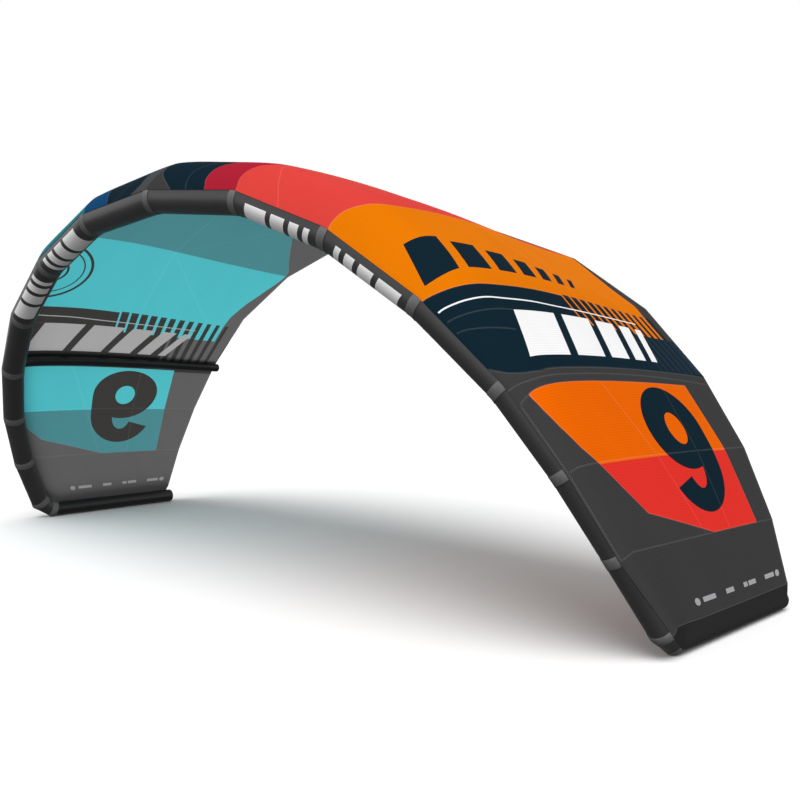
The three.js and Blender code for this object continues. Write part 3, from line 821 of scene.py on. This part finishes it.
def wing_patches(side):
    """The coloured patches of one wing in the order they are laid, each as a colour and an outline."""
    rear = smooth_line(REAR_EDGE)
    centre, first, second, third = [smooth_line(edge) for edge in PANEL_EDGES[side]]
    band, strut = smooth_line(BAND_EDGE), smooth_line(STRUT_EDGE)
    last_gap = REAR_EDGE[-1][1]
    laid = [
        ("first", centre + rear[1:] + [FAR_FRONT]),
        ("second", first + rear[CURVE_STEPS:] + [FAR_FRONT]),
        ("third", second + rear[CURVE_STEPS:] + [FAR_FRONT]),
        ("main", third + rear[4 * CURVE_STEPS:] + [FAR_FRONT]),
        ("strut", strut + [(STRUT_REACH, 1.0), (STRUT_REACH, 0.0)]),
        ("band", band + [(BAR_SPLIT, last_gap), (BAR_SPLIT, 1.0)] + strut[::-1]),
    ]
    first_gap = bars()[0][0] - BAR_MARGIN
    upper = [(COMB_TOP, first_gap), *[p for p in band if first_gap < p[1] < last_gap], REAR_EDGE[-1]]
    laid.append(("main", upper + [(BAR_SPLIT, last_gap), (BAR_SPLIT, first_gap)]))
    laid.append(("gap", block(BAR_SPLIT, BAR_FOOT, GAP_START, BAR_END)))
    for low, high in bars():
        laid.append(("band", block(mix(*BAR_TOPS, low - BAR_START), BAR_FOOT, low, high)))
    white, half = smooth_line(WHITE_LINE), WHITE_WIDTH / 2
    laid.append(("white", [(s - half, c) for s, c in white] + [(s + half, c) for s, c in white[::-1]]))
    laid += [("white", corners) for corners in slanted(**WHITE_BLOCKS)]
    laid += [("ink", corners) for corners in slanted(**DARK_BLOCKS)] if side > 0 else rings()
    front, foot, back = LOWER_PANEL[side]
    laid.append(("lower", smooth_line(LOWER_TOP + back[:1]) + back[1:] + front[1:5][::-1]))
    laid.append(("foot", front[4:] + foot + back[1:]))
    bowl, hole, hook = numeral(side)
    laid += [("ink", hook), ("ink", bowl), ("lower", hole)]
    laid += [("pale", mark) for mark in marks()]
    colors = WINGS[side]
    return [(colors.get(color, color), [(s * side, c) for s, c in outline]) for color, outline in laid]


def sewn_lines(side):
    """The seams of one wing: round its coloured panels, along ribs, and where cloth is joined in a panel."""
    front, foot, back = LOWER_PANEL[side]
    curves = [*PANEL_EDGES[side], BAND_EDGE, STRUT_EDGE, STRUT_MIDDLE, REAR_EDGE, LOWER_TOP + back[:1]]
    curves += STITCH_LINES
    lines = [smooth_line(c) for c in curves] + STAR_LINES + [front + foot[:1], back + foot[1:]]
    lines += [[(k, 0.0), (k, 1.0)] for k in SEAM_RIBS] + [INNER_SEAM, HEM]
    return [[(s * side, c) for s, c in line] for line in lines]


# Canopy

SPAN_STEPS = 12
FRONT_LINES = 12
ELBOW_LINES = 14
REAR_LINES = 50
LINE_STEP = (0.1, 0.02)
SHEET_OUT = 0.5
SHEET_IN = -1.3
TIP_COLUMNS = 15
TIP_SPAN = 0.4
TIP_WIDTH = 300
CLOSE = 1e-9
WELD_DIGITS = 3


def chord_lines():
    elbow = mix(TIP_CHORD, 1, ELBOW_SHARE)
    parts = [np.linspace(0, TIP_CHORD, FRONT_LINES), np.linspace(TIP_CHORD, elbow, ELBOW_LINES)[1:],
             np.linspace(elbow, 1, REAR_LINES)[1:]]
    return np.concatenate(parts)


def tip_sheet(side, chords):
    """The last panel as its own grid, whose first column lies on the last rib."""
    back = chords[chords >= TIP_CHORD - CLOSE]
    columns = np.linspace(0, 1, TIP_COLUMNS)
    rows = (back - TIP_CHORD) / (1 - TIP_CHORD)
    points = [tip_cloth_point(max(r, 0.0), c) for r in rows for c in columns]
    quads = grid_quads(len(rows), TIP_COLUMNS)
    triangles = [half for a, b, c, d in quads for half in ((a, b, c), (a, c, d))]
    flat = [(side * (LAST + c * TIP_SPAN), chord) for chord in back for c in columns]
    return np.array(points) * (side, 1, 1), np.array(triangles), np.array(flat)


def welded(points, triangles):
    """Joins points that lie together: the points to keep, the triangles, and which of them stay whole."""
    places = np.round(points, WELD_DIGITS)
    _, kept, joined = np.unique(places, axis=0, return_index=True, return_inverse=True)
    triangles = joined.ravel()[triangles]
    whole = (triangles[:, 0] != triangles[:, 1]) & (triangles[:, 1] != triangles[:, 2])
    whole &= triangles[:, 0] != triangles[:, 2]
    return kept, triangles, whole


def vertex_normals(points, triangles):
    across = triangle_normals(points, triangles)
    normals = np.zeros_like(points)
    for i in range(3):
        np.add.at(normals, triangles[:, i], across)
    return normals / np.linalg.norm(normals, axis=1)[:, None]


SEAM_HALF = 6.0
SLOPE_STEP = 1e-3
NO_SEAM = (9.0, 0.0)


def slopes(span, chord):
    """How the cloth moves, in millimetres, for one unit of span and for one of chord."""
    left, right = [np.clip(span + step, -LAST, LAST) for step in (-SLOPE_STEP, SLOPE_STEP)]
    low, high = [np.clip(chord + step, 0, 1) for step in (-SLOPE_STEP, SLOPE_STEP)]
    by_span = (wing_points(right, chord) - wing_points(left, chord)) / (right - left)[:, None]
    by_chord = (wing_points(span, high) - wing_points(span, low)) / (high - low)[:, None]
    return by_span, by_chord


def rails(line):
    """The two edges of the sewn band along a line in span and chord."""
    d_span, d_chord = np.gradient(line, axis=0).T
    by_span, by_chord = slopes(*line.T)
    pairs = (by_span, by_span), (by_span, by_chord), (by_chord, by_chord)
    e, f, g = [(p * q).sum(axis=1) for p, q in pairs]
    aside = np.stack([-f * d_span - g * d_chord, e * d_span + f * d_chord], axis=1)
    size = np.sqrt(e * aside[:, 0] ** 2 + 2 * f * aside[:, 0] * aside[:, 1] + g * aside[:, 1] ** 2)
    aside *= SEAM_HALF / size[:, None]
    return [np.clip(line + aside * way, (-LAST, 0), (LAST, 1)) for way in (1, -1)]


def band_places(points, flat, line):
    """For points on a sewn band: how far across it, from -1 to 1, and metres along it."""
    path = wing_points(*line.T)
    starts, ways = path[:-1], np.diff(path, axis=0)
    arms = points[:, None] - starts
    shares = np.clip((arms * ways).sum(axis=2) / (ways**2).sum(axis=1), 0, 1)
    away = np.linalg.norm(arms - shares[..., None] * ways, axis=2)
    nearest = away.argmin(axis=1)
    rows = np.arange(len(points))
    lengths = path_lengths(path)
    along = mix(lengths[nearest], lengths[nearest + 1], shares[rows, nearest])
    way, arm = np.diff(line, axis=0)[nearest], flat - line[nearest]
    side = np.sign(way[:, 0] * arm[:, 1] - way[:, 1] * arm[:, 0])
    return np.stack([side * away[rows, nearest] / SEAM_HALF, along * MM], axis=1)


def seam_corners(points, flat, triangles, bands):
    """The place on its sewn band of each corner of each triangle."""
    found = np.full((len(triangles), 3, 2), NO_SEAM)
    middles = flat[triangles].mean(axis=1)
    for line, (left, right) in bands:
        outline = np.concatenate([left, right[::-1]])
        low, high = outline.min(axis=0), outline.max(axis=0)
        close = np.flatnonzero(((middles >= low) & (middles <= high)).all(axis=1))
        close = close[inside_outline(middles[close], outline)]
        if len(close):
            corners = triangles[close].ravel()
            found[close] = band_places(points[corners], flat[corners], line).reshape(-1, 3, 2)
    return found


def cloth_metres(flat):
    """Metres along the span and along the chord, for the weave."""
    widths = path_lengths(np.array([on_rib(k, 0.5) for k in range(LAST + 1)]))
    lengths = [path_lengths(rib_curves[k][0])[-1] for k in range(LAST + 1)]
    across = np.interp(np.abs(flat[:, 0]), range(LAST + 2), [*widths, widths[-1] + TIP_WIDTH])
    along = flat[:, 1] * np.interp(np.abs(flat[:, 0]), range(LAST + 1), lengths)
    return np.stack([across, along], axis=1) * MM


OUTSIDE_RIBBING = 0.35
INSIDE_RIBBING = 0.15


def canopy_materials(names):
    outside = [canopy_material(f"canopy_{n}", OUTSIDE[n], OUTSIDE_RIBBING) for n in names]
    # The inside copies are lighter with painted daylight shining through the cloth
    return outside + [canopy_material(f"canopy_{n}_inside", INSIDE[n], INSIDE_RIBBING) for n in names]


UNDER_ARCH = np.array([0.0, 800.0, -1500.0])


def turned_out(points, triangles):
    """Turns each triangle so that it faces away from the space under the arch."""
    arms = points[triangles].mean(axis=1) - UNDER_ARCH
    inward = (triangle_normals(points, triangles) * arms).sum(axis=1) < 0
    triangles[inward] = triangles[inward][:, ::-1]
    return triangles


def canopy_surface():
    """The whole canopy as one welded sheet: points, triangles, colours and places in span and chord."""
    names = list(OUTSIDE)
    across = np.linspace(-LAST, LAST, 2 * LAST * SPAN_STEPS + 1)
    chords = chord_lines()
    left_half = [(-LAST, 0), (0, 0), (0, 1), (-LAST, 1)]
    patches = [(WINGS[-1]["base"], left_half)] + wing_patches(1) + wing_patches(-1)
    lines = [refined(line, LINE_STEP) for side in (1, -1) for line in sewn_lines(side)]
    bands = [(line, rails(line)) for line in lines]
    edges = [rail for _, both in bands for rail in both]
    outlines = [outline for _, outline in patches]
    flat, triangles, owner = cut_flat(across, chords, outlines, edges, LINE_STEP)
    colors = [names.index(color) for color in (WINGS[1]["base"], *[color for color, _ in patches])]
    colors = np.array(colors)[owner]
    points = wing_points(flat[:, 0], flat[:, 1])
    for side in (1, -1):
        more, faces, where = tip_sheet(side, chords)
        triangles = np.concatenate([triangles, faces + len(points)])
        # The last panel takes the charcoal darkened with painted shade
        colors = np.concatenate([colors, np.full(len(faces), names.index("tip_painted_shade"))])
        points, flat = np.concatenate([points, more]), np.concatenate([flat, where])
    kept, triangles, whole = welded(points, triangles)
    points, flat = points[kept], flat[kept]
    return names, points, flat, turned_out(points, triangles[whole]), colors[whole], bands


def canopy():
    names, points, flat, triangles, colors, bands = canopy_surface()
    normals = vertex_normals(points, triangles)
    count = len(points)
    both = np.concatenate([points + normals * SHEET_OUT, points + normals * SHEET_IN])
    rim = [(b, a, count + a, count + b) for a, b in boundary_edges(triangles)]
    faces = [*triangles, *(triangles[:, ::-1] + count), *rim]
    face_colors = [*colors, *(colors + len(names)), *[names.index("charcoal")] * len(rim)]
    seams = seam_corners(points, flat, triangles, bands)
    rim_seams = np.full((4 * len(rim), 2), NO_SEAM)
    metres = cloth_metres(flat)
    uvs = {"metres": np.concatenate([metres, metres]),
           "seam": np.concatenate([seams.reshape(-1, 2), seams[:, ::-1].reshape(-1, 2), rim_seams])}
    sheet = smooth(add_object("canopy", place(both), faces, canopy_materials(names), uvs, face_colors))
    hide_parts(*[f"canopy_{s}{k}" for s in "rl" for k in range(1, ELBOW + 1)])
    area = float(np.linalg.norm(triangle_normals(points, triangles), axis=1).sum() / 2 * MM**2)


# Tubes and struts

TUBE_SIDES = 72
TUBE_LINES = 17
UNROLL_ANGLE = 150
SLEEVE_ENDS = (0.001, 0.999)

# The plain slanted blocks printed on two sleeves of each wing, in share of the length and of the turn
PRINT_WIDTHS = (0.24, 0.15, 0.1, 0.06)
PRINTED = {2: PRINT_WIDTHS, 3: PRINT_WIDTHS[::-1]}
PRINT_START = 0.12
PRINT_GAP = 0.055
PRINT_LEAN = 0.05
PRINT_TURNS = [(UNROLL_ANGLE + angle) / 360 for angle in (-4, 105)]


def sleeve_blocks(k):
    row = fading(PRINT_START, PRINTED.get(k, ()), PRINT_GAP)
    blocks = [block(*PRINT_TURNS, a, b, PRINT_LEAN) for a, b in row]
    return [[(share, turn) for turn, share in corners] for corners in blocks]


def sleeve(k, side, letter, materials):
    """One straight sleeve of the leading edge, mitred at both ends."""
    shares = np.linspace(*SLEEVE_ENDS, TUBE_LINES)
    turns = np.linspace(0, 1, TUBE_SIDES + 1)
    flat, triangles, owner = cut_flat(shares, turns, sleeve_blocks(k), [], (1, 1))
    length = np.linalg.norm(centres[k] - centres[k - 1])
    points = []
    for share, turn in flat:
        angle = UNROLL_ANGLE - 360 * turn
        points.append(mix(ring_point(k - 1, angle, radii[k - 1]), ring_point(k, angle, radii[k]), share))
    metres = flat * (length * MM, 2 * pi * radii[k] * MM)
    node = f"elbow_{letter}" if k == ELBOW else f"sleeve_{letter}{k}"
    points = place(np.array(points) * (side, 1, 1))
    uvs = {"metres": metres, "share": flat}
    tube = add_object(f"{node}_cloth", points, triangles, materials, uvs, np.minimum(owner, 1))
    tidy_mesh(tube, close=True)
    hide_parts(node)


def loft(name, rows, material, radius, side):
    """A skin through rings of points, closed at both ends."""
    sides = len(rows[0])
    points = np.array(rows).reshape(-1, 3) * (side, 1, 1)
    lengths = path_lengths(np.array([np.mean(row[:-1], axis=0) for row in rows]))
    around = np.linspace(0, 2 * pi * radius, sides)
    metres = [(a * MM, b * MM) for a in lengths for b in around]
    shares = [(a / lengths[-1], b / around[-1]) for a in lengths for b in around]
    uvs = {"metres": metres, "share": shares}
    faces = grid_quads(len(rows), sides)
    return tidy_mesh(add_object(name, place(points), faces, [material], uvs), close=True)


def flattened(ring):
    """The tube lies flat where it meets the floor."""
    ring = ring.copy()
    ring[..., 2] = np.maximum(ring[..., 2], -LEADING_EDGE[2])
    return ring


TIP_TUBE_LINES = 14

# The steps along and inwards of a rounded end
END_STEPS = [(TIP_ROUNDING * sin(t), TIP_ROUNDING * (1 - cos(t))) for t in np.radians([15, 35, 55, 75, 90])]


def tip_tubes(material):
    angles = np.linspace(0, 360, TUBE_SIDES + 1)
    rows = [np.array([ring_point(ELBOW, a, ELBOW_RADIUS) for a in angles])]
    end = TIP_RINGS[-1][0]
    for back in np.linspace(TIP_RINGS[1][0], end, TIP_TUBE_LINES):
        rows.append(np.array([tip_tube_point(back, a, 0) for a in angles]))
    for ahead, inward in END_STEPS:
        rows.append(np.array([tip_tube_point(end, a, -inward) + BACK * ahead for a in angles]))
    rows = [flattened(row) for row in rows]
    for side, letter in SIDES:
        tube = loft(f"tip_tube_{letter}_cloth", rows, material, ELBOW_RADIUS, side)
        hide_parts(f"tip_tube_{letter}")


STRUT_GAP = 0.6
STRUT_FRONT_LINES = 10
STRUT_LINES = 24
STRUT_SIDES = 48
STRUTS = ((0, ((1, "center"),)), (4, SIDES))


def strut_line(k):
    """Centres, directions and radii of the strut, from inside the leading edge back under the cloth."""
    _, leave, crest = rib_curves[k]
    front, rear = np.linspace(leave, crest, STRUT_FRONT_LINES), np.linspace(crest, 1, STRUT_LINES)
    places = np.concatenate([front, rear[1:]])
    line = wing_points(np.full(len(places), float(k)), places)
    found = []
    for i, point in enumerate(line):
        ahead, behind = line[max(i - 1, 0)], line[min(i + 1, len(line) - 1)]
        along = unit(behind - ahead)
        above = unit(np.cross(spans[k], along))
        radius = mix(STRUT_FRONT_RADIUS, STRUT_REAR_RADIUS, max(places[i] - crest, 0) / (1 - crest))
        found.append((point - above * (radius - SHEET_IN + STRUT_GAP), along, radius))
    return found


def strut_ring(k, centre, along, radius):
    side = spans[k]
    normal = unit(np.cross(along, side))
    turns = np.linspace(0, 2 * pi, STRUT_SIDES + 1)
    return np.array([centre + (normal * cos(t) + side * sin(t)) * radius for t in turns])


def struts(material):
    for k, names in STRUTS:
        line = strut_line(k)
        rows = [strut_ring(k, *row) for row in line]
        rear, along, radius = line[-1]
        for ahead, inward in [(0, 0), *END_STEPS]:
            centre = rear + along * (STRUT_PAST - TIP_ROUNDING + ahead)
            rows.append(strut_ring(k, centre, along, radius - inward))
        for side, name in names:
            strut = loft(f"strut_{name}_cloth", rows, material, radius, side)
            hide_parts(f"strut_{name}")


# Tapes

TAPE_ACROSS = (-21.0, -19.5, 0.0, 19.5, 21.0)
TAPE_IN = 0.3
TAPE_OUT = 1.4
TAPE_EDGE = 0.6
TAPE_STEPS = 64
TAPE_START = -1
TAPE_END = 20 - 360


def tape_point(k, angle, radius, across):
    """A point of the tape round joint k: across 0 on the mitre, and along the sleeves on both sides."""
    middle = ring_point(k, angle, radius)
    if across == 0:
        return middle
    other = k - 1 if across < 0 else k + 1
    if other < 0:
        target = ring_point(1, angle, radii[1] + radius - radii[k]) * (-1, 1, 1)
    elif other > ELBOW:
        target = middle + centres[ELBOW + 1] - centres[ELBOW]
    else:
        target = ring_point(other, angle, radii[other] + radius - radii[k])
    return middle + unit(target - middle) * abs(across)


def tape_grid(k, height):
    seam = TIP_SEAM if k == ELBOW else SEAM_ANGLES[k]
    wrap = TIP_WRAP if k == ELBOW else JOINTS[k]["wrap"]
    angles = np.linspace(seam + TAPE_START, wrap + TAPE_END, TAPE_STEPS)
    rows = []
    for across in TAPE_ACROSS:
        lowered = TAPE_EDGE if abs(across) == TAPE_ACROSS[-1] and height == TAPE_OUT else 0
        rows.append([tape_point(k, a, radii[k] + height - lowered, across) for a in angles])
    metres = [(a * MM, b * radii[k] * MM) for a in TAPE_ACROSS for b in np.radians(angles)]
    return flattened(np.array(rows)), metres


def slab(name, outer, inner, material, metres, side):
    """A thin closed piece between two grids of points."""
    rows, columns = outer.shape[:2]
    count = rows * columns
    points = np.concatenate([outer.reshape(-1, 3), inner.reshape(-1, 3)]) * (side, 1, 1)
    faces = []
    for quad in grid_quads(rows, columns):
        faces += [quad, tuple(count + i for i in quad[::-1])]
    rim = grid_border(rows, columns)
    faces += [(a, b, count + b, count + a) for a, b in zip(rim, rim[1:] + rim[:1])]
    return tidy_mesh(add_object(name, place(points), faces, [material], {"metres": metres * 2}))


def tapes(material):
    for k in range(ELBOW + 1):
        outer, metres = tape_grid(k, TAPE_OUT)
        inner, _ = tape_grid(k, TAPE_IN)
        for side, name in [(side, f"{letter}{k}") for side, letter in SIDES] if k else [(1, "center")]:
            tape = slab(f"tape_{name}_webbing", outer, inner, material, metres, side)
            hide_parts(f"tape_{name}")


# Stage, light and camera

FLOOR_HALF = 400.0
FLOOR_HEIGHT = -0.001
FLOOR_LIGHT = (0.82, 0.82, 0.82, 1.0)
FLOOR_PALE = (0.84, 0.84, 0.84, 1.0)


def stage():
    nodes = Nodes(bpy.data.materials.new("floor_pale"))
    where = nodes.node("NewGeometry", {}).outputs["Position"]
    color = nodes.mix(nodes.noise(where, scale=0.6), FLOOR_LIGHT, FLOOR_PALE)
    grain = nodes.noise(where, scale=300.0)
    material = nodes.finish(color, grain, roughness=0.9, specular=0.1, strength=0.1, distance=0.001)
    mesh = bpy.data.meshes.new("floor")
    ways = (-1, -1), (1, -1), (1, 1), (-1, 1)
    mesh.from_pydata([(x * FLOOR_HALF, y * FLOOR_HALF, FLOOR_HEIGHT) for x, y in ways], [], [(0, 1, 2, 3)])
    mesh.materials.append(material)
    floor = put_in_scene("floor", mesh)
    floor.visible_diffuse = False
    floor.visible_glossy = False
    floor.visible_shadow = False


ROOM_LIGHTS = ((0.0, 0.15), (0.485, 0.15), (0.495, 1.0), (0.65, 1.0), (0.8, 0.4))


def room():
    """A room that is white round the horizon and greyer above and below."""
    world = bpy.data.worlds.new("room")
    nodes = Nodes(world)
    way = nodes.node("TexCoord", {}).outputs["Generated"]
    height = nodes.node("SeparateXYZ", {0: way}).outputs[2]
    rise = nodes.node("MapRange", {"Value": height, "From Min": -1.0}).outputs[0]
    ramp = nodes.node("ValToRGB", {0: rise})
    nodes.feed(nodes.tree.nodes["Background"], {"Color": ramp.outputs[0]})
    while len(ramp.color_ramp.elements) < len(ROOM_LIGHTS):
        ramp.color_ramp.elements.new(1.0)
    for element, (position, level) in zip(ramp.color_ramp.elements, ROOM_LIGHTS):
        element.position = position
        element.color = (level, level, level, 1.0)
    bpy.context.scene.world = world


LIGHT_SOFTNESS = 50


def soft_light(name, strength, come_from):
    """A large far light that comes from a direction."""
    light = bpy.data.lights.new(name, "SUN")
    light.energy = strength
    light.angle = radians(LIGHT_SOFTNESS)
    thing = put_in_scene(name, light)
    thing.rotation_euler = Vector(come_from).to_track_quat("Z", "Y").to_euler()
    return thing


def lights():
    """A soft light overhead, and one from below for the inside of the cloth, like daylight through it."""
    room()
    soft_light("overhead", strength=3.1, come_from=(0.35, -0.35, 0.85))
    glow = soft_light("glow", strength=2.1, come_from=(0.5, -0.3, -0.8))
    lit = bpy.data.collections.new("lit_from_below")
    lit.objects.link(bpy.data.objects["canopy"])
    glow.light_linking.receiver_collection = lit
    bpy.context.scene.view_settings.view_transform = "Standard"


CAMERA_PLACE = (4.018, -3.365, 1.079)
CAMERA_AZIMUTH = 44.873
CAMERA_DOWN = 3.550
CAMERA_ROLL = -0.657
CAMERA_LENS = 50.0


def camera():
    data = bpy.data.cameras.new("camera")
    data.lens = CAMERA_LENS
    data.sensor_width = 36.0
    thing = put_in_scene("camera", data)
    turn = Matrix.Rotation(radians(CAMERA_AZIMUTH), 4, "Z")
    turn = turn @ Matrix.Rotation(radians(90 - CAMERA_DOWN), 4, "X")
    turn = turn @ Matrix.Rotation(radians(CAMERA_ROLL), 4, "Z")
    thing.matrix_world = Matrix.Translation(CAMERA_PLACE) @ turn
    bpy.context.scene.camera = thing


def build():
    camera()
    stage()
    woven = tube_material("tube_charcoal_woven", (51, 51, 52))
    printed = tube_material("tube_white_print", (246, 246, 247))
    black = tube_material("tube_black_woven", (15, 15, 16))
    webbing = tape_material("tape_grey_webbing", (101, 101, 101))
    canopy()
    for k in range(1, ELBOW + 1):
        for side, letter in SIDES:
            sleeve(k, side, letter, [woven, printed])
    tip_tubes(black)
    struts(black)
    tapes(webbing)
    lights()


build()
